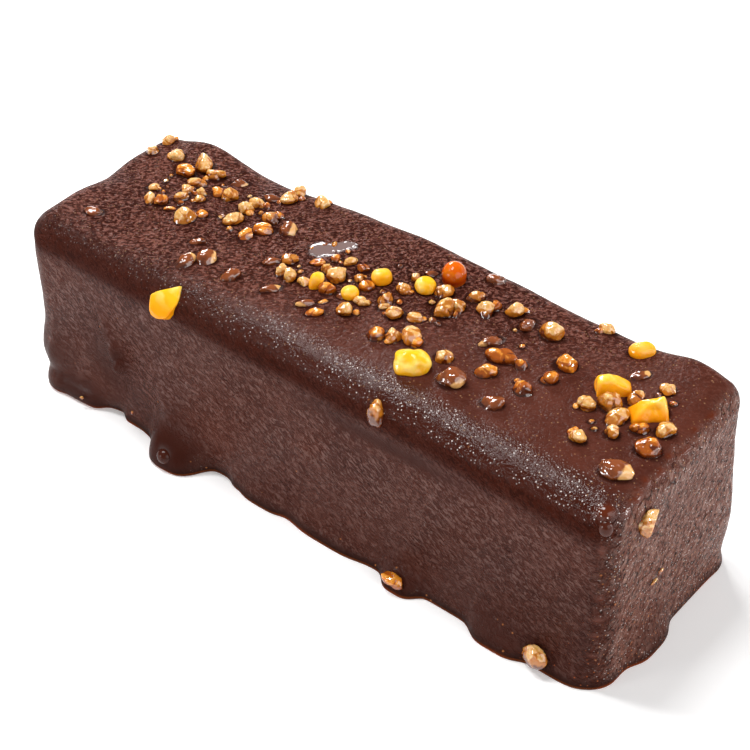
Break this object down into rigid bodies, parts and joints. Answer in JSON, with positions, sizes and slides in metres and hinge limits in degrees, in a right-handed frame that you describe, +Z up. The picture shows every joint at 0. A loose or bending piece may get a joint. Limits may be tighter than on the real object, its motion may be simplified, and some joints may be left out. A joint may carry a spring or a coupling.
{
  "type": "carrot cake",
  "caption": "Long carrot cake bar covered in dark chocolate glaze, with chopped caramelised nuts and candied fruit on top.",
  "frame": {"origin": "middle of the flat underside, on the surface that the bar stands on", "axes": "+Z up, +X along the bar towards its near end, -Y out of the long front side"},
  "size_m": [0.1373, 0.0514, 0.0453],
  "materials": {
    "chocolate_glaze": "set dark chocolate glaze, satin with a glossy rim, faintly wrinkled and pitted",
    "caramelised_nut": "chopped nut under a thin glossy coat of caramel",
    "amber_nut": "chopped nut under a thick, dark, glassy coat of caramel",
    "candied_fruit": "moist candied fruit, bright yellow to orange, softly glossy"
  },
  "bodies": {
    "root": {"glazed_cake_bar": "chocolate_glaze"}
  },
  "joints": []
}
